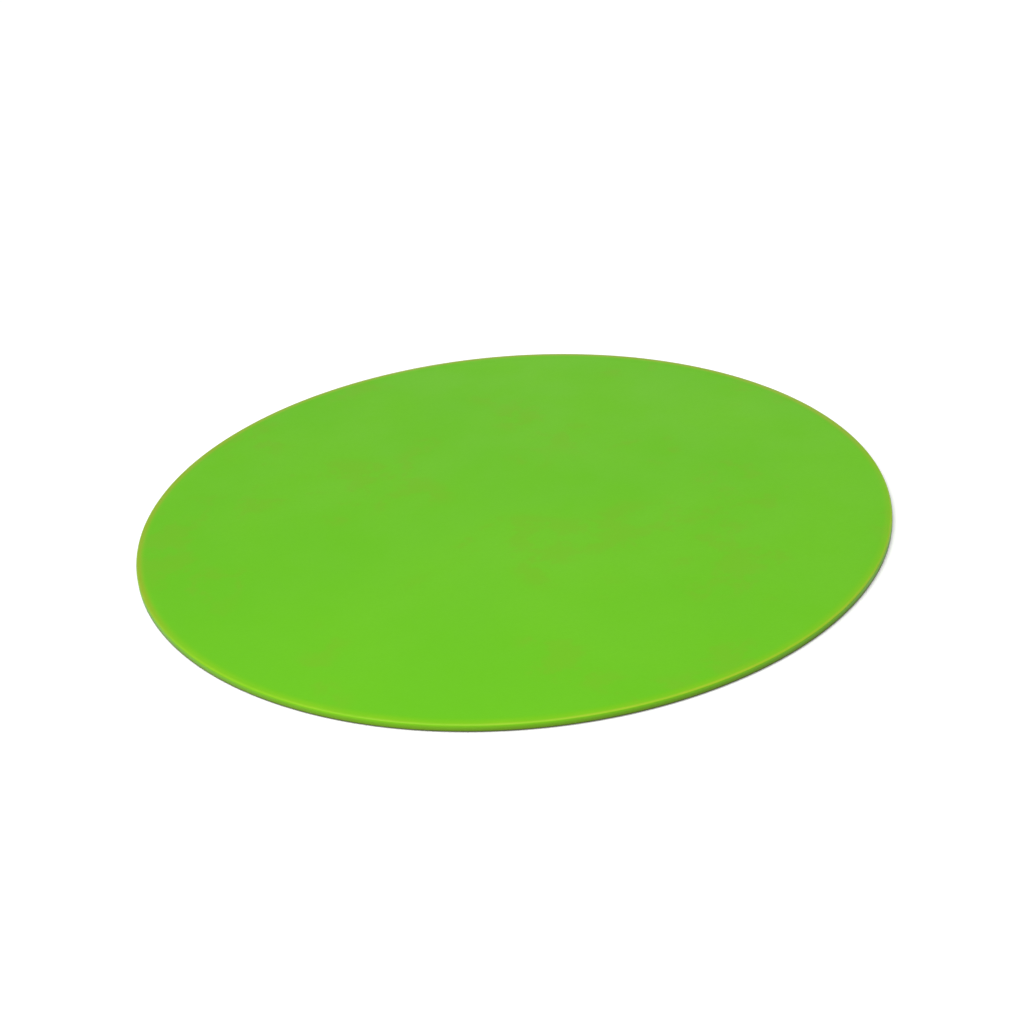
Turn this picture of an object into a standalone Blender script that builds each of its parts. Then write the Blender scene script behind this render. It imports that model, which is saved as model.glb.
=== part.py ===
"""A thin round balance pad, in metres, +Z up, with its origin at the centre of the face it rests on.

The pad is laminated. From the top down it is a moulded green skin, whose edge eases down and turns a
tight corner into a wall that wraps the layers, a soft foam, a woven sheet, a firmer foam and a rubber
base with grip rings.
Every piece is turned about the Z axis, and a thin gap stands for the glue between neighbours.
"""

import math

import bmesh
import bpy

# The whole pad
PAD_DIAMETER = 0.480
PAD_THICKNESS = 0.0055

# The skin
SKIN_TOP = 0.0009  # thickness of its flat top
SKIN_WALL = 0.0014  # thickness of its wall
EASING_WIDTH = 0.0070  # how far in from the wall the top starts to fall
EASING_DROP = 0.0005  # how far it would fall by the wall
CORNER_RADIUS = 0.0014  # between the easing and the wall
FOOT_RADIUS = 0.0005  # at the wall's outer lower edge

# The layers inside
SCRIM_THICKNESS = 0.0003
COMFORT_SHARE = 0.54  # the soft foam's share of the foam

# The base
BASE_SHEET = 0.0007
RING_HEIGHT = 0.0005  # how far the grip rings stand below the sheet and the wall
RING_WIDTH = 0.0100
RING_PITCH = 0.0240
RING_DRAFT = 0.0003  # how much a ring narrows on each side towards the floor
EDGE_MARGIN = 0.0012  # from the sheet's edge to the outermost ring
SMALLEST_LAND = 0.0300  # the least radius of the flat disc at the middle

# Fits and fineness
GLUE_GAP = 0.0003
SEGMENTS = 72  # round the pad
EASING_STEPS = 4
CORNER_STEPS = 5
FOOT_STEPS = 2

# What follows from the sizes above
RADIUS = PAD_DIAMETER / 2
EASING_R = RADIUS - EASING_WIDTH  # where the flat top ends
LAYER_RADIUS = RADIUS - SKIN_WALL - GLUE_GAP  # of everything inside the wall
SHEET_UNDERSIDE = RING_HEIGHT
BASE_TOP = SHEET_UNDERSIDE + BASE_SHEET
SKIN_UNDERSIDE = PAD_THICKNESS - SKIN_TOP
STACK_HEIGHT = SKIN_UNDERSIDE - BASE_TOP - 4 * GLUE_GAP  # of both foams and the scrim
FOAM_HEIGHT = STACK_HEIGHT - SCRIM_THICKNESS
SUPPORT_BOTTOM = BASE_TOP + GLUE_GAP
SUPPORT_TOP = SUPPORT_BOTTOM + (1 - COMFORT_SHARE) * FOAM_HEIGHT
SCRIM_BOTTOM = SUPPORT_TOP + GLUE_GAP
SCRIM_TOP = SCRIM_BOTTOM + SCRIM_THICKNESS
COMFORT_BOTTOM = SCRIM_TOP + GLUE_GAP
COMFORT_TOP = SKIN_UNDERSIDE - GLUE_GAP
OUTERMOST_RING = LAYER_RADIUS - EDGE_MARGIN
RING_COUNT = int((OUTERMOST_RING - SMALLEST_LAND) / RING_PITCH)
LAND_RADIUS = OUTERMOST_RING - RING_COUNT * RING_PITCH  # one more step of the pitch, filled in


def clear_scene():
    """Removes the objects that the file opened with."""
    for thing in list(bpy.data.objects):
        bpy.data.objects.remove(thing, do_unlink=True)


def finish(name, colour, roughness, metallic=0.0):
    """A plain material: its base colour, roughness and metallic value."""
    material = bpy.data.materials.new(name)
    material.use_nodes = True
    shader = material.node_tree.nodes["Principled BSDF"]
    shader.inputs["Base Color"].default_value = (*colour, 1.0)
    shader.inputs["Roughness"].default_value = roughness
    shader.inputs["Metallic"].default_value = metallic
    return material


def fall(r):
    """How far the top has eased down at the radius r."""
    reach = max(r - EASING_R, 0.0) / EASING_WIDTH
    return EASING_DROP * reach * reach


def eased_face(depth, end_r):
    """(r, z) points of a face at a depth under the top, from the end of its flat out to the radius end_r.

    It falls with the top, so the layers nest.
    """
    points = []
    for step in range(EASING_STEPS + 1):
        r = EASING_R + (end_r - EASING_R) * step / EASING_STEPS
        points.append((r, PAD_THICKNESS - depth - fall(r)))
    return points


def eased_corner():
    """(r, z) points of the outer face, from the end of the flat top to the top of the wall."""
    centre_r = RADIUS - CORNER_RADIUS
    slope = math.atan(2 * EASING_DROP * (centre_r - EASING_R) / EASING_WIDTH**2)
    meeting_r = centre_r + CORNER_RADIUS * math.sin(slope)
    points = eased_face(0.0, meeting_r)
    centre_z = points[-1][1] - CORNER_RADIUS * math.cos(slope)
    for step in range(1, CORNER_STEPS + 1):
        turn = slope + (math.pi / 2 - slope) * step / CORNER_STEPS
        points.append((centre_r + CORNER_RADIUS * math.sin(turn), centre_z + CORNER_RADIUS * math.cos(turn)))
    return points


def rounded_foot():
    """(r, z) points of the wall's outer lower edge, from the wall to its underside."""
    points = []
    for step in range(FOOT_STEPS + 1):
        turn = math.pi / 2 * step / FOOT_STEPS
        r = RADIUS - FOOT_RADIUS * (1 - math.cos(turn))
        z = SHEET_UNDERSIDE + FOOT_RADIUS * (1 - math.sin(turn))
        points.append((r, z))
    return points


def turned(name, outline, material):
    """A solid of revolution. Its (r, z) outline starts and ends on the Z axis."""
    mesh = bpy.data.meshes.new(name)
    shape = bmesh.new()
    corners = [shape.verts.new((r, 0.0, z)) for r, z in outline]
    sides = [shape.edges.new(pair) for pair in zip(corners, corners[1:])]
    bmesh.ops.spin(
        shape,
        geom=corners + sides,
        axis=(0.0, 0.0, 1.0),
        cent=(0.0, 0.0, 0.0),
        angle=2 * math.pi,
        steps=SEGMENTS,
        use_merge=True,
    )
    bmesh.ops.remove_doubles(shape, verts=shape.verts, dist=1e-6)
    bmesh.ops.recalc_face_normals(shape, faces=shape.faces)
    shape.to_mesh(mesh)
    shape.free()
    mesh.materials.append(material)
    mesh.shade_smooth()
    mesh.set_sharp_from_angle(angle=math.radians(30))
    piece = bpy.data.objects.new(name, mesh)
    bpy.context.scene.collection.objects.link(piece)
    return piece


def cover_skin():
    """The moulded skin: a flat top, the eased corner and a wall that ends level with the base sheet."""
    outer = [(0.0, PAD_THICKNESS), *eased_corner(), *rounded_foot()]
    inner = [*eased_face(SKIN_TOP, RADIUS - SKIN_WALL), (RADIUS - SKIN_WALL, SHEET_UNDERSIDE)]
    outline = outer + inner[::-1] + [(0.0, SKIN_UNDERSIDE)]
    return turned("cover_skin", outline, finish("green_skin", (0.165, 0.565, 0.025), 0.38))


def comfort_foam():
    """The soft foam, whose top falls with the skin's."""
    edge = eased_face(SKIN_TOP + GLUE_GAP, LAYER_RADIUS)
    outline = [(0.0, COMFORT_TOP), *edge, (LAYER_RADIUS, COMFORT_BOTTOM), (0.0, COMFORT_BOTTOM)]
    return turned("comfort_foam", outline, finish("soft_foam", (0.55, 0.75, 0.40), 0.9))


def flat_disc(name, bottom, top, material):
    """A plain layer that fills the wall from side to side."""
    outline = [(0.0, top), (LAYER_RADIUS, top), (LAYER_RADIUS, bottom), (0.0, bottom)]
    return turned(name, outline, material)


def scrim():
    """The woven sheet that keeps the pad from stretching."""
    return flat_disc("scrim", SCRIM_BOTTOM, SCRIM_TOP, finish("woven_sheet", (0.75, 0.74, 0.70), 0.8))


def support_foam():
    """The firmer foam."""
    return flat_disc("support_foam", SUPPORT_BOTTOM, SUPPORT_TOP, finish("firm_foam", (0.10, 0.11, 0.10), 0.9))


def grip_rings():
    """(r, z) points of the rings' undersides, from the outermost ring to the innermost."""
    points = []
    for ring in range(RING_COUNT):
        outside = OUTERMOST_RING - ring * RING_PITCH
        inside = outside - RING_WIDTH
        points += [
            (outside, SHEET_UNDERSIDE),
            (outside - RING_DRAFT, 0.0),
            (inside + RING_DRAFT, 0.0),
            (inside, SHEET_UNDERSIDE),
        ]
    return points


def base_skin():
    """The rubber base, set into the wall's mouth, with rings and a middle land that stand on the floor."""
    sheet = [(0.0, BASE_TOP), (LAYER_RADIUS, BASE_TOP), (LAYER_RADIUS, SHEET_UNDERSIDE)]
    land = [(LAND_RADIUS, SHEET_UNDERSIDE), (LAND_RADIUS - RING_DRAFT, 0.0), (0.0, 0.0)]
    return turned("base_skin", sheet + grip_rings() + land, finish("grip_rubber", (0.030, 0.034, 0.028), 0.7))


def main():
    clear_scene()
    cover_skin()
    comfort_foam()
    scrim()
    support_foam()
    base_skin()


main()
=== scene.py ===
"""The looks of a thin round balance pad, on a pale floor.

Five pieces take the place of the plain CAD ones, in the same boxes: a moulded skin, two foams, a woven sheet
between them and a grip base. Each has its own material, worked out from places on the piece itself.
"""

import math

import bmesh
import bpy
from mathutils import Matrix, Vector, noise


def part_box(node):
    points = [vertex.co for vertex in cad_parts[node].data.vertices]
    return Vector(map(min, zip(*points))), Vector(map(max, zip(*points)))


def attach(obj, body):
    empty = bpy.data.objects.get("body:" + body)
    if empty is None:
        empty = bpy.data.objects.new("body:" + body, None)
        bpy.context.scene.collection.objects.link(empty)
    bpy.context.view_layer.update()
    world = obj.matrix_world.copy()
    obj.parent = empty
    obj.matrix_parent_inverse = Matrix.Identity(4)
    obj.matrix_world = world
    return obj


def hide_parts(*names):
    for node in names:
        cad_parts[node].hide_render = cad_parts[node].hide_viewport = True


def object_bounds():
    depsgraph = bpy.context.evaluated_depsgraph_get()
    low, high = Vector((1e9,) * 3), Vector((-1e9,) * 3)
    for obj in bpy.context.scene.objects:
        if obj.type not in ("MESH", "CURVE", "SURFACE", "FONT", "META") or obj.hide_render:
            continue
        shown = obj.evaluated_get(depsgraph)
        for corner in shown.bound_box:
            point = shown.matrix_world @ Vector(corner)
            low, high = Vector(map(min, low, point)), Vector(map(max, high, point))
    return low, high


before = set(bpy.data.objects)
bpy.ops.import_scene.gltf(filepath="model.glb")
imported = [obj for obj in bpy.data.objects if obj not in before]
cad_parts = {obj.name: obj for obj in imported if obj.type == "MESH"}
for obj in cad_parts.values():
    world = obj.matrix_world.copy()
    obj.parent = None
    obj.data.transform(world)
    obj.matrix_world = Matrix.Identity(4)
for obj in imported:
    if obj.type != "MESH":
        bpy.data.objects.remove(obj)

CAD_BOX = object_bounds()

# The places of the CAD pieces, which everything here is built on
SKIN_LOW, SKIN_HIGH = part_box("cover_skin")
COMFORT_LOW, COMFORT_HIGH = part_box("comfort_foam")
SCRIM_LOW, SCRIM_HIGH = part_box("scrim")
SUPPORT_LOW, SUPPORT_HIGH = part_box("support_foam")
BASE_LOW, BASE_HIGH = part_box("base_skin")
RADIUS = SKIN_HIGH.x
TOP = SKIN_HIGH.z
FOOT = SKIN_LOW.z
LAYER_RADIUS = BASE_HIGH.x
GLUE_GAP = SUPPORT_LOW.z - BASE_HIGH.z
SKIN_TOP = TOP - COMFORT_HIGH.z - GLUE_GAP
SKIN_WALL = RADIUS - LAYER_RADIUS - GLUE_GAP

# The skin's edge, from the flat top outwards
EASING_WIDTH = 0.0070
EASING_DROP = 0.0005
CORNER_RADIUS = 0.0014
FOOT_RADIUS = 0.0005
EASING_R = RADIUS - EASING_WIDTH

# The grip base
BASE_SHEET = 0.0007
EDGE_MARGIN = 0.0012  # from the sheet's edge to the outermost ring
RING_COUNT = 8
RING_WIDTH = 0.0100
RING_PITCH = 0.0240
OUTERMOST_RING = LAYER_RADIUS - EDGE_MARGIN
RING_ROUNDING = 0.00025
KNURL_PITCH = 0.0011

# Where the skin's colours change: the start and the end of each change
REFLECTION_BAND = (0.0066, 0.0014)  # painted warm reflection, in from the outline
# painted highlight line, in from the outline
HIGHLIGHT_BAND = (0.0019, 0.0009)
TAN_BAND = (0.0052, 0.0012)
WALL_BAND = (0.0008, 0.0012)  # painted shade of the wall, down from the top
FOOT_BAND = (0.0010, 0.0005)  # painted contact shadow, up from the foot
# the height above the foot where the wall's painted shade is deepest
DEEPEST_WALL_SHADE = 0.0004

# How far handling and moulding have moved the surfaces, always inwards
TOP_SETTLING = 0.00006
LOWEST_SETTLING = 0.001  # above the foot
RIM_WANDER = 0.00015
FOAM_ROUGHNESS = 0.00005
CUT_EDGE = 0.001  # how far in from its outline a foam's cut edge reaches

# How closely those movements follow each other, per metre
DIPS = 14.0
RIPPLES = 60.0
WANDERS = 16.0
PITS = 180.0

# The woven sheet
THREAD_PITCH = 0.0030
THREAD_WAVE = 0.00005

# Fineness
SKIN_SEGMENTS = 288  # round the pad
LAYER_SEGMENTS = 240
FLAT_STEPS = 40  # across a flat face
EASING_STEPS = 10
CORNER_STEPS = 12
WALL_STEPS = 6
FOOT_STEPS = 6
RING_STEPS = 3  # round one edge of a ring

FLOOR_REACH = 30.0

# The camera looks down at the pad, a little to the left of its middle and past it
LENS_MM = 70.6
SENSOR_MM = 36.0
CAMERA_DISTANCE = 5.354 * RADIUS
CAMERA_ELEVATION = math.radians(28.75)
CAMERA_ROLL = math.radians(-4.79)
AIM_LEFT = 0.0059 * RADIUS
AIM_UP = 0.0163 * RADIUS


class Look:
    """A node material under construction. Its methods add nodes and give back their output sockets."""

    def __init__(self, name, specular=0.5):
        self.made = bpy.data.materials.new(name)
        self.made.use_nodes = True
        self.tree = self.made.node_tree
        self.shader = self.tree.nodes["Principled BSDF"]
        self.shader.inputs["Specular IOR Level"].default_value = specular
        self.place = self.add("ShaderNodeTexCoord").outputs["Object"]

    def add(self, kind, **settings):
        node = self.tree.nodes.new(kind)
        for key, value in settings.items():
            setattr(node, key, value)
        return node

    def join(self, source, target):
        """Links a socket to an input, or sets the input if the source is a value."""
        if isinstance(source, bpy.types.NodeSocket):
            self.tree.links.new(source, target)
        else:
            target.default_value = source

    def noise(self, scale, detail=3.0, roughness=0.5):
        """Soft noise, with about this many blobs in a metre."""
        node = self.add("ShaderNodeTexNoise")
        self.join(self.place, node.inputs["Vector"])
        node.inputs["Scale"].default_value = scale
        node.inputs["Detail"].default_value = detail
        node.inputs["Roughness"].default_value = roughness
        return node.outputs["Fac"]

    def cells(self, scale):
        """Rounded cells, with about this many in a metre."""
        node = self.add("ShaderNodeTexVoronoi", feature="F1")
        self.join(self.place, node.inputs["Vector"])
        node.inputs["Scale"].default_value = scale
        return node.outputs["Distance"]

    def stretch(self, value, low, high, to_low=0.0, to_high=1.0, smooth=True):
        """Maps low..high to to_low..to_high, and holds the ends."""
        node = self.add("ShaderNodeMapRange", interpolation_type="SMOOTHSTEP" if smooth else "LINEAR")
        self.join(value, node.inputs["Value"])
        node.inputs["From Min"].default_value = low
        node.inputs["From Max"].default_value = high
        node.inputs["To Min"].default_value = to_low
        node.inputs["To Max"].default_value = to_high
        return node.outputs["Result"]

    def reckon(self, operation, first, second=0.0):
        """One of Blender's math operations, on one or two values."""
        node = self.add("ShaderNodeMath", operation=operation)
        self.join(first, node.inputs[0])
        self.join(second, node.inputs[1])
        return node.outputs["Value"]

    def times(self, first, second):
        return self.reckon("MULTIPLY", first, second)

    def plus(self, first, second):
        return self.reckon("ADD", first, second)

    def mix(self, share, first, second):
        """A colour between two colours."""
        node = self.add("ShaderNodeMix", data_type="RGBA")
        self.join(share, node.inputs["Factor"])
        for colour, target in ((first, node.inputs["A"]), (second, node.inputs["B"])):
            self.join((*colour, 1.0) if isinstance(colour, tuple) else colour, target)
        return node.outputs["Result"]

    def parts(self):
        """The place's x, y and z."""
        node = self.add("ShaderNodeSeparateXYZ")
        self.join(self.place, node.inputs["Vector"])
        return node.outputs["X"], node.outputs["Y"], node.outputs["Z"]

    def from_axis(self):
        """The distance from the pad's axis."""
        flat = self.add("ShaderNodeVectorMath", operation="MULTIPLY")
        self.join(self.place, flat.inputs[0])
        flat.inputs[1].default_value = (1.0, 1.0, 0.0)
        node = self.add("ShaderNodeVectorMath", operation="LENGTH")
        self.join(flat.outputs["Vector"], node.inputs[0])
        return node.outputs["Value"]

    def finish(self, colour, roughness, height, depth):
        """Joins up the shader: its colour, roughness and a bump of the given height pattern and depth."""
        bump = self.add("ShaderNodeBump")
        bump.inputs["Strength"].default_value = 1.0
        bump.inputs["Distance"].default_value = depth
        self.join(height, bump.inputs["Height"])
        self.join(colour, self.shader.inputs["Base Color"])
        self.join(roughness, self.shader.inputs["Roughness"])
        self.join(bump.outputs["Normal"], self.shader.inputs["Normal"])
        return self.made


def top_green(look):
    """The flat top: slow clouds and a fine speckle, dulled a little in patches where it has been stood on."""
    leaf, lime = (0.1255, 0.499, 0.0030), (0.136, 0.511, 0.0045)
    darker, olive = (0.121, 0.475, 0.0034), (0.159, 0.456, 0.0070)
    cloud = look.stretch(look.noise(7.0, detail=4.0), 0.35, 0.65)
    speckle = look.stretch(look.noise(420.0, detail=2.0), 0.3, 0.7)
    top = look.mix(cloud, leaf, lime)
    top = look.mix(look.times(speckle, 0.25), top, darker)
    zone = look.stretch(look.noise(11.0, detail=1.0), 0.50, 0.58)
    fleck = look.stretch(look.noise(42.0, detail=5.0, roughness=0.65), 0.48, 0.58)
    dulled = look.times(look.times(zone, fleck), 0.55)
    return look.mix(dulled, top, olive)


def rim_band(look, distance, band):
    """From 0 to 1 over a band that is given in from the skin's outline."""
    start, end = band
    return look.stretch(distance, RADIUS - start, RADIUS - end)


def rim_green(look, top, x, y):
    """The top's colour carried over the edge, with painted light on it.

    It is yellower all round, a painted warm reflection, with a painted highlight as a pale line along the
    corner that is strongest towards +X, and a tan outermost band towards +Y and -X.
    """
    yellower, pale, tan = (0.250, 0.520, 0.0060), (0.322, 0.488, 0.0220), (0.270, 0.410, 0.0120)
    out = look.from_axis()
    uneven = look.stretch(look.noise(30.0, detail=2.0), 0.3, 0.7, 0.7, 1.0)
    # painted warm reflection: the whole rim is yellower
    reflection_share = look.times(rim_band(look, out, REFLECTION_BAND), uneven)
    rim = look.mix(look.times(reflection_share, 0.52), top, yellower)
    # painted highlight: a pale line along the corner, stronger towards +X
    highlight_share = look.times(uneven, look.stretch(x, -0.10, 0.10, 0.30, 1.0))
    line = look.times(rim_band(look, out, HIGHLIGHT_BAND), highlight_share)
    rim = look.mix(look.times(line, 0.85), rim, pale)
    # a tan outermost band, stronger towards +Y and -X
    lean = look.reckon("SUBTRACT", y, look.times(x, 0.3))
    spread = look.plus(out, look.stretch(y, -0.02, 0.12, 0.0, 0.0015))
    tan_band = look.times(rim_band(look, spread, TAN_BAND), look.stretch(lean, -0.09, 0.01, 0.0, 0.9))
    return look.mix(tan_band, rim, tan)


def shaded_wall_green(look, x, z):
    """The wall: painted shade, a deeper copy of the top's green, darker towards its foot and a little more so
    towards +X.
    """
    # painted shade: a little darker towards +X
    shaded = look.stretch(x, -0.12, 0.10)
    high = look.mix(shaded, (0.146, 0.435, 0.0003), (0.132, 0.410, 0.0003))
    low = look.mix(shaded, (0.098, 0.200, 0.0003), (0.072, 0.132, 0.0003))
    # painted shade: darker towards the foot
    painted_foot_shade = look.stretch(z, TOP - WALL_BAND[1], FOOT + DEEPEST_WALL_SHADE, smooth=False)
    return look.mix(painted_foot_shade, high, low)


def green_skin():
    """Bright green moulded skin with a satin grain: its top, rim and wall, with painted light on the rim,
    painted shade on the wall and a painted contact shadow as a dark line at the foot.
    """
    look = Look("green_skin_look", specular=0.18)
    x, y, z = look.parts()
    rim = rim_green(look, top_green(look), x, y)
    # the wall takes the shaded copy of the green: painted shade
    wall = look.stretch(z, TOP - WALL_BAND[0], TOP - WALL_BAND[1])
    skin = look.mix(wall, rim, shaded_wall_green(look, x, z))
    # painted contact shadow: a dark line at the foot
    foot = look.stretch(z, FOOT + FOOT_BAND[0], FOOT + FOOT_BAND[1], 0.0, 0.9)
    skin = look.mix(foot, skin, (0.045, 0.055, 0.0030))
    grain = look.plus(look.noise(1500.0, detail=2.0), look.times(look.cells(800.0), 0.6))
    rough = look.stretch(look.noise(22.0, detail=5.0), 0.3, 0.7, 0.44, 0.54)
    return look.finish(skin, rough, grain, depth=0.00004)


def soft_foam():
    """Pale green closed-cell foam, with painted shade in its cell pits."""
    look = Look("soft_foam_look", specular=0.2)
    cell = look.cells(650.0)
    # painted shade: darker in the cell pits
    tone = look.mix(look.stretch(cell, 0.0, 0.7), (0.36, 0.54, 0.24), (0.60, 0.79, 0.45))
    tone = look.mix(look.stretch(look.noise(14.0), 0.35, 0.65, 0.0, 0.25), tone, (0.50, 0.72, 0.30))
    rough = look.stretch(look.noise(60.0), 0.3, 0.7, 0.82, 0.95)
    return look.finish(tone, rough, look.plus(cell, look.noise(2400.0)), depth=0.00018)


def firm_foam():
    """Charcoal closed-cell foam, with finer cells than the soft one and painted shade in its cell pits."""
    look = Look("firm_foam_look", specular=0.25)
    cell = look.cells(1100.0)
    # painted shade: darker in the cell pits
    tone = look.mix(look.stretch(cell, 0.0, 0.7), (0.050, 0.055, 0.050), (0.125, 0.135, 0.125))
    tone = look.mix(look.stretch(look.noise(18.0), 0.35, 0.65, 0.0, 0.4), tone, (0.085, 0.100, 0.080))
    rough = look.stretch(look.noise(70.0), 0.3, 0.7, 0.80, 0.93)
    return look.finish(tone, rough, look.plus(cell, look.noise(3000.0)), depth=0.00012)


def woven_sheet():
    """Undyed plain weave: two sets of threads, with painted shade in the darker gaps at their corners."""
    look = Look("woven_sheet_look", specular=0.2)
    x, y, _ = look.parts()
    rounds = []
    for across in (x, y):
        wave = look.times(across, math.pi / THREAD_PITCH)
        rounds.append(look.reckon("ABSOLUTE", look.reckon("COSINE", wave)))
    threads = look.reckon("MAXIMUM", *rounds)
    fibre = look.noise(900.0, detail=4.0, roughness=0.7)
    # painted shade: darker where the threads dip, in the gaps
    tone = look.mix(look.stretch(threads, 0.25, 0.9), (0.42, 0.40, 0.36), (0.76, 0.75, 0.70))
    tone = look.mix(look.stretch(fibre, 0.4, 0.7, 0.0, 0.35), tone, (0.62, 0.59, 0.52))
    rough = look.stretch(fibre, 0.3, 0.7, 0.76, 0.92)
    height = look.plus(threads, look.times(fibre, 0.5))
    return look.finish(tone, rough, height, depth=0.00015)


def grip_rubber():
    """Near-black moulded rubber: a fine knurl, dust in patches and greyer, scuffed ring faces."""
    look = Look("grip_rubber_look", specular=0.35)
    x, y, z = look.parts()
    slants = []
    for turn in ("ADD", "SUBTRACT"):
        wave = look.times(look.reckon(turn, x, y), math.pi / KNURL_PITCH)
        slants.append(look.reckon("COSINE", wave))
    knurl = look.times(*slants)
    blotch = look.stretch(look.noise(35.0, detail=6.0, roughness=0.6), 0.4, 0.7)
    tone = look.mix(blotch, (0.024, 0.027, 0.023), (0.036, 0.040, 0.034))
    scuff = look.stretch(look.noise(260.0, detail=5.0, roughness=0.7), 0.45, 0.62)
    standing = look.stretch(z, BASE_LOW.z + 0.0003, BASE_LOW.z + 0.00005)
    tone = look.mix(look.times(look.times(scuff, standing), 0.6), tone, (0.085, 0.088, 0.080))
    dust = look.stretch(look.noise(120.0, detail=4.0), 0.55, 0.75, 0.0, 0.35)
    tone = look.mix(dust, tone, (0.070, 0.074, 0.062))
    rough = look.stretch(look.plus(blotch, scuff), 0.0, 2.0, 0.62, 0.80)
    height = look.plus(look.times(knurl, 0.4), look.noise(1600.0))
    return look.finish(tone, rough, height, depth=0.00008)


def white_floor():
    """A white studio floor that glows faintly, so that it stays white away from the lamps."""
    look = Look("floor_look", specular=0.1)
    look.shader.inputs["Emission Color"].default_value = (1.0, 1.0, 1.0, 1.0)
    look.shader.inputs["Emission Strength"].default_value = 0.18
    tone = look.mix(look.stretch(look.noise(3.0), 0.3, 0.7), (0.930, 0.930, 0.930), (0.945, 0.945, 0.945))
    rough = look.stretch(look.noise(9.0), 0.3, 0.7, 0.80, 0.88)
    return look.finish(tone, rough, look.noise(300.0), depth=0.00002)


def linked(name, shape, look):
    """An object from a finished bmesh, smooth shaded."""
    bmesh.ops.recalc_face_normals(shape, faces=shape.faces)
    mesh = bpy.data.meshes.new(name)
    shape.to_mesh(mesh)
    shape.free()
    mesh.shade_smooth()
    mesh.materials.append(look)
    piece = bpy.data.objects.new(name, mesh)
    bpy.context.scene.collection.objects.link(piece)
    return piece


def turned(outline, segments):
    """A closed solid of revolution from an (r, z) outline that starts and ends on the Z axis."""
    shape = bmesh.new()
    rings = []
    for r, z in outline:
        if r < 1e-6:
            rings.append([shape.verts.new((0.0, 0.0, z))] * segments)
            continue
        ring = []
        for step in range(segments):
            turn = 2 * math.pi * step / segments
            ring.append(shape.verts.new((r * math.cos(turn), r * math.sin(turn), z)))
        rings.append(ring)
    for upper, lower in zip(rings, rings[1:]):
        for step in range(segments):
            after = (step + 1) % segments
            corners = [upper[step], lower[step], lower[after], upper[after]]
            shape.faces.new(dict.fromkeys(corners))
    return shape


def along(start, end, steps):
    """(r, z) points from start to end on a straight line, without the start."""
    return [tuple(a + (b - a) * k / steps for a, b in zip(start, end)) for k in range(1, steps + 1)]


def fall(r):
    """How far the top has eased down at the radius r."""
    reach = max(r - EASING_R, 0.0) / EASING_WIDTH
    return EASING_DROP * reach * reach


def eased_face(depth, end_r, steps=EASING_STEPS):
    """(r, z) points at a depth under the top, from the axis over the flat and down the easing to end_r."""
    level = TOP - depth
    points = [(0.0, level), *along((0.0, level), (EASING_R, level), FLAT_STEPS)]
    for r, z in along((EASING_R, level), (end_r, level), steps):
        points.append((r, z - fall(r)))
    return points


def skin_outline():
    """(r, z) points of the skin: the eased top, the corner, the wall, its foot and the inside."""
    centre_r = RADIUS - CORNER_RADIUS
    slope = math.atan(2 * EASING_DROP * (centre_r - EASING_R) / EASING_WIDTH**2)
    points = eased_face(0.0, centre_r + CORNER_RADIUS * math.sin(slope))
    centre_z = points[-1][1] - CORNER_RADIUS * math.cos(slope)
    for step in range(1, CORNER_STEPS + 1):
        turn = slope + (math.pi / 2 - slope) * step / CORNER_STEPS
        points.append((centre_r + CORNER_RADIUS * math.sin(turn), centre_z + CORNER_RADIUS * math.cos(turn)))
    points += along(points[-1], (RADIUS, FOOT + FOOT_RADIUS), WALL_STEPS)
    for step in range(1, FOOT_STEPS + 1):
        turn = math.pi / 2 * step / FOOT_STEPS
        r = RADIUS - FOOT_RADIUS * (1 - math.cos(turn))
        points.append((r, FOOT + FOOT_RADIUS * (1 - math.sin(turn))))
    inside = eased_face(SKIN_TOP, RADIUS - SKIN_WALL, steps=6)
    points += along(points[-1], (RADIUS - SKIN_WALL, FOOT), steps=2)
    points += along(points[-1], inside[-1], steps=3)
    return points + inside[-2::-1]


def cover():
    """The skin. Its top has settled very slightly and its rim wanders a little from a true circle."""
    shape = turned(skin_outline(), SKIN_SEGMENTS)
    for corner in shape.verts:
        place = corner.co.copy()
        r = math.hypot(place.x, place.y)
        dip = 0.5 + 0.5 * noise.noise(place * DIPS) + 0.15 * noise.noise(place * RIPPLES)
        if place.z > FOOT + LOWEST_SETTLING:
            corner.co.z -= TOP_SETTLING * min(max(dip, 0.0), 1.0)
        if r > EASING_R:
            share = (r - EASING_R) / EASING_WIDTH
            wander = 0.5 + 0.5 * noise.noise(Vector((place.x, place.y, 0.0)) * WANDERS)
            scale = 1.0 - share * RIM_WANDER * wander / r
            corner.co.x *= scale
            corner.co.y *= scale
    piece = linked("cover", shape, green_skin())
    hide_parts("cover_skin")
    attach(piece, "root")


def roughened(shape, low, high, seed):
    """Makes a foam layer's faces and cut edge uneven, never outside its box."""
    middle = (low.z + high.z) / 2
    for corner in shape.verts:
        place = corner.co.copy()
        r = math.hypot(place.x, place.y)
        uneven = 0.5 + 0.5 * noise.noise(place * PITS + Vector((seed, 0.0, 0.0)))
        corner.co.z += math.copysign(FOAM_ROUGHNESS * uneven, middle - place.z)
        if r > high.x - CUT_EDGE:
            scale = 1.0 - 2 * FOAM_ROUGHNESS * uneven / r
            corner.co.x *= scale
            corner.co.y *= scale


def comfort_foam():
    """The soft foam, whose top falls with the skin's."""
    outline = eased_face(TOP - COMFORT_HIGH.z, LAYER_RADIUS)
    outline += along(outline[-1], (LAYER_RADIUS, COMFORT_LOW.z), steps=3)
    outline += along(outline[-1], (0.0, COMFORT_LOW.z), FLAT_STEPS)
    shape = turned(outline, LAYER_SEGMENTS)
    roughened(shape, COMFORT_LOW, COMFORT_HIGH, seed=3.0)
    piece = linked("comfort_layer", shape, soft_foam())
    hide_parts("comfort_foam")
    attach(piece, "root")


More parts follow.
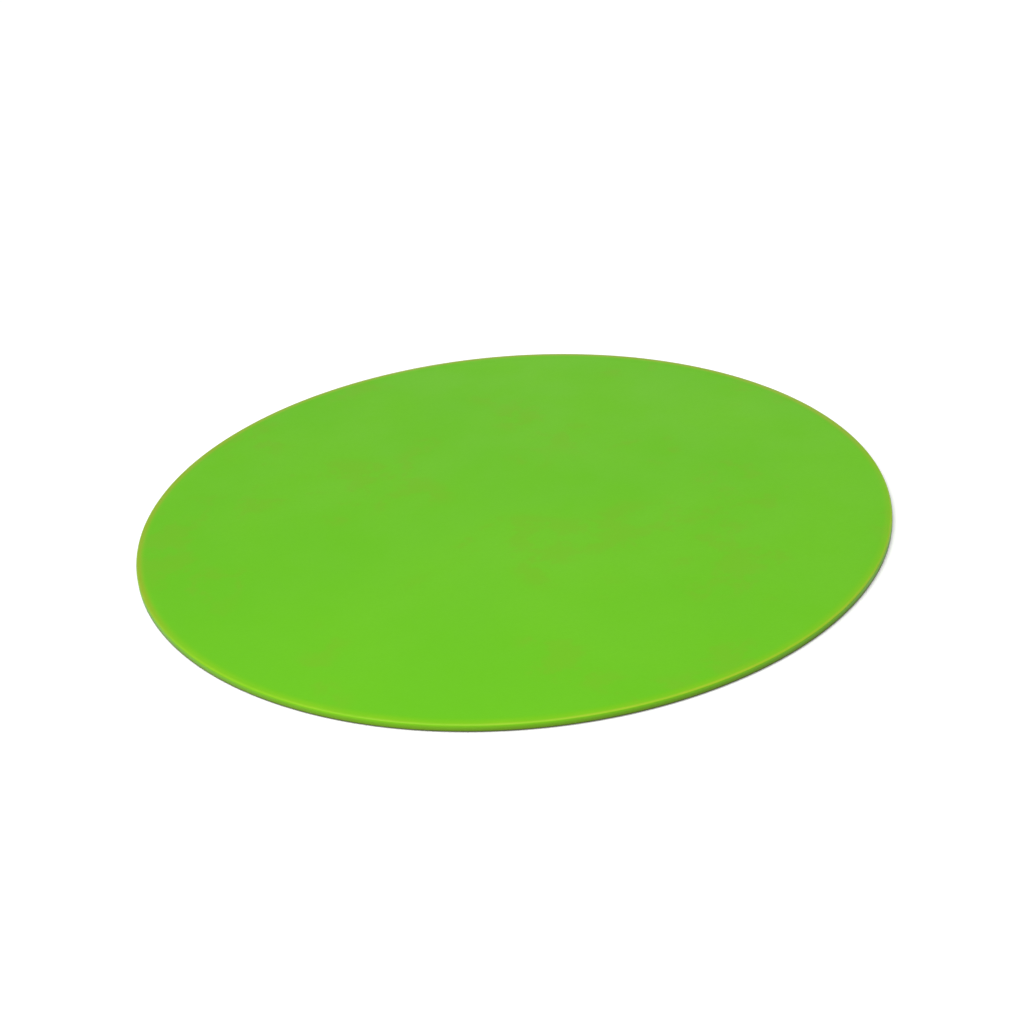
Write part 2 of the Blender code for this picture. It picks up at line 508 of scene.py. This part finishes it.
def support_foam():
    """The firm foam, a flat disc."""
    top, bottom = SUPPORT_HIGH.z, SUPPORT_LOW.z
    outline = [(0.0, top), *along((0.0, top), (LAYER_RADIUS, top), FLAT_STEPS)]
    outline += along(outline[-1], (LAYER_RADIUS, bottom), steps=3)
    outline += along(outline[-1], (0.0, bottom), FLAT_STEPS)
    shape = turned(outline, LAYER_SEGMENTS)
    roughened(shape, SUPPORT_LOW, SUPPORT_HIGH, seed=11.0)
    piece = linked("support_layer", shape, firm_foam())
    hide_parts("support_foam")
    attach(piece, "root")


def weave():
    """The woven sheet: every crossing is a corner of its mesh, over and under by turns."""
    radius = SCRIM_HIGH.x
    reach = int(radius / THREAD_PITCH) + 1
    kept_r = radius + 0.7 * THREAD_PITCH  # corners beyond this are left out
    trimmed_r = radius - 0.3 * THREAD_PITCH  # corners beyond this are drawn to the sheet's edge
    shape = bmesh.new()
    sides = []
    for level, inwards in ((SCRIM_HIGH.z, -1), (SCRIM_LOW.z, 1)):
        corners = {}
        for i in range(-reach, reach + 1):
            for j in range(-reach, reach + 1):
                x, y = i * THREAD_PITCH, j * THREAD_PITCH
                r = math.hypot(x, y)
                if r > kept_r:
                    continue
                if r > trimmed_r:
                    x, y = x * radius / r, y * radius / r
                over = THREAD_WAVE if (i + j) % 2 else -THREAD_WAVE
                corners[i, j] = shape.verts.new((x, y, level + inwards * THREAD_WAVE + over))
        sides.append(corners)
    upper, lower = sides
    edges = {}
    for i, j in upper:
        square = [(i, j), (i + 1, j), (i + 1, j + 1), (i, j + 1)]
        if not all(corner in upper for corner in square):
            continue
        shape.faces.new([upper[corner] for corner in square])
        shape.faces.new([lower[corner] for corner in reversed(square)])
        for pair in zip(square, square[1:] + square[:1]):
            edges[pair] = edges.get(pair, 0) + 1
    for start, end in edges:
        if (end, start) not in edges:
            shape.faces.new((upper[end], upper[start], lower[start], lower[end]))
    loose = [corner for corner in shape.verts if not corner.link_faces]
    bmesh.ops.delete(shape, geom=loose, context="VERTS")
    piece = linked("weave", shape, woven_sheet())
    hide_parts("scrim")
    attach(piece, "root")


def rounded_step(r, side, floor_z):
    """(r, z) points round one lower edge of a ring; side is 1 for its outer edge, -1 for its inner one."""
    points = []
    for step in range(RING_STEPS + 1):
        turn = math.pi / 2 * step / RING_STEPS
        reach = RING_ROUNDING * (1 - math.cos(turn))
        points.append((r - side * reach, floor_z + RING_ROUNDING * (1 - math.sin(turn))))
    return points if side > 0 else points[::-1]


def base():
    """The grip base: a sheet with rounded rings and a land at the middle."""
    floor_z = BASE_LOW.z
    sheet_z = BASE_HIGH.z - BASE_SHEET
    outline = [(0.0, BASE_HIGH.z), *along((0.0, BASE_HIGH.z), (LAYER_RADIUS, BASE_HIGH.z), steps=20)]
    outline += along(outline[-1], (LAYER_RADIUS, sheet_z), steps=2)
    for ring in range(RING_COUNT):
        outside = OUTERMOST_RING - ring * RING_PITCH
        inside = outside - RING_WIDTH
        outline += [(outside, sheet_z), *rounded_step(outside, 1, floor_z)]
        outline += along(outline[-1], (inside + RING_ROUNDING, floor_z), steps=4)[:-1]
        outline += [*rounded_step(inside, -1, floor_z), (inside, sheet_z)]
    land = OUTERMOST_RING - RING_COUNT * RING_PITCH
    outline += [(land, sheet_z), *rounded_step(land, 1, floor_z)]
    outline += along(outline[-1], (0.0, floor_z), steps=8)
    piece = linked("grip_base", turned(outline, LAYER_SEGMENTS), grip_rubber())
    piece.data.set_sharp_from_angle(angle=math.radians(50))
    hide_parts("base_skin")
    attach(piece, "root")


def camera():
    """Looks down at the pad from the front, rolled a little and aimed beside its middle."""
    made = bpy.data.objects.new("camera", bpy.data.cameras.new("camera"))
    bpy.context.scene.collection.objects.link(made)
    made.data.lens = LENS_MM
    made.data.sensor_width = SENSOR_MM
    made.data.clip_start = 0.01
    made.data.clip_end = 60.0
    back = Vector((0.0, -math.cos(CAMERA_ELEVATION), math.sin(CAMERA_ELEVATION)))
    level = (-back).to_track_quat("-Z", "Y") @ Matrix.Rotation(CAMERA_ROLL, 3, "Z").to_quaternion()
    swing = Vector((0.0, 0.0, -1.0)).rotation_difference(Vector((-AIM_LEFT, AIM_UP, -CAMERA_DISTANCE)))
    made.rotation_mode = "QUATERNION"
    made.rotation_quaternion = level @ swing
    made.location = back * CAMERA_DISTANCE
    bpy.context.scene.camera = made


def floor():
    """A plain floor at the level of the pad's underside."""
    shape = bmesh.new()
    bmesh.ops.create_grid(shape, x_segments=2, y_segments=2, size=FLOOR_REACH)
    bmesh.ops.translate(shape, verts=shape.verts, vec=(0.0, 0.0, CAD_BOX[0].z))
    linked("floor", shape, white_floor())


def softbox(name, place, aim, size, power, colour=(1.0, 1.0, 1.0)):
    """A rectangular lamp at a place, turned to face the point it aims at."""
    data = bpy.data.lights.new(name, "AREA")
    data.shape = "RECTANGLE"
    data.size, data.size_y = size
    data.energy = power
    data.color = colour
    lamp = bpy.data.objects.new(name, data)
    bpy.context.scene.collection.objects.link(lamp)
    lamp.location = place
    lamp.rotation_euler = (Vector(place) - Vector(aim)).to_track_quat("Z", "Y").to_euler()


def lights():
    """A broad soft sun from the front left, a lamp near the front and a low one that the far top mirrors.

    The sky is pale at the horizon, darker above it, and pale again overhead.
    """
    sun = bpy.data.lights.new("sun", "SUN")
    sun.energy = 1.78
    sun.angle = math.radians(55)
    lamp = bpy.data.objects.new("sun", sun)
    bpy.context.scene.collection.objects.link(lamp)
    lamp.rotation_euler = Vector((-0.32, -0.25, 1.0)).to_track_quat("Z", "Y").to_euler()
    softbox("front", (-0.20, -0.55, 0.50), aim=(0.0, -0.15, 0.0), size=(0.5, 0.3), power=1.35)
    warm = (1.0, 0.78, 0.60)
    softbox("sheen", (0.15, 1.15, 0.45), aim=(0.0, 0.1, 0.0), size=(0.8, 0.4), power=0.6, colour=warm)
    world = bpy.data.worlds.new("studio")
    bpy.context.scene.world = world
    world.use_nodes = True
    tree = world.node_tree
    place = tree.nodes.new("ShaderNodeTexCoord")
    split = tree.nodes.new("ShaderNodeSeparateXYZ")
    ramp = tree.nodes.new("ShaderNodeValToRGB")
    tree.links.new(place.outputs["Generated"], split.inputs["Vector"])
    tree.links.new(split.outputs["Z"], ramp.inputs["Fac"])
    tree.links.new(ramp.outputs["Color"], tree.nodes["Background"].inputs["Color"])
    # the sine of the height above the horizon, and the grey there
    stops = ((0.0, 1.0), (0.16, 0.96), (0.26, 0.88), (0.37, 0.36), (0.56, 0.18), (1.0, 0.56))
    band = ramp.color_ramp
    while len(band.elements) < len(stops):
        band.elements.new(0.5)
    for element, (height, grey) in zip(band.elements, stops):
        element.position = height
        element.color = (grey, grey, grey, 1.0)
    bpy.context.scene.view_settings.view_transform = "Standard"


cover()
comfort_foam()
weave()
support_foam()
base()
camera()
floor()
lights()
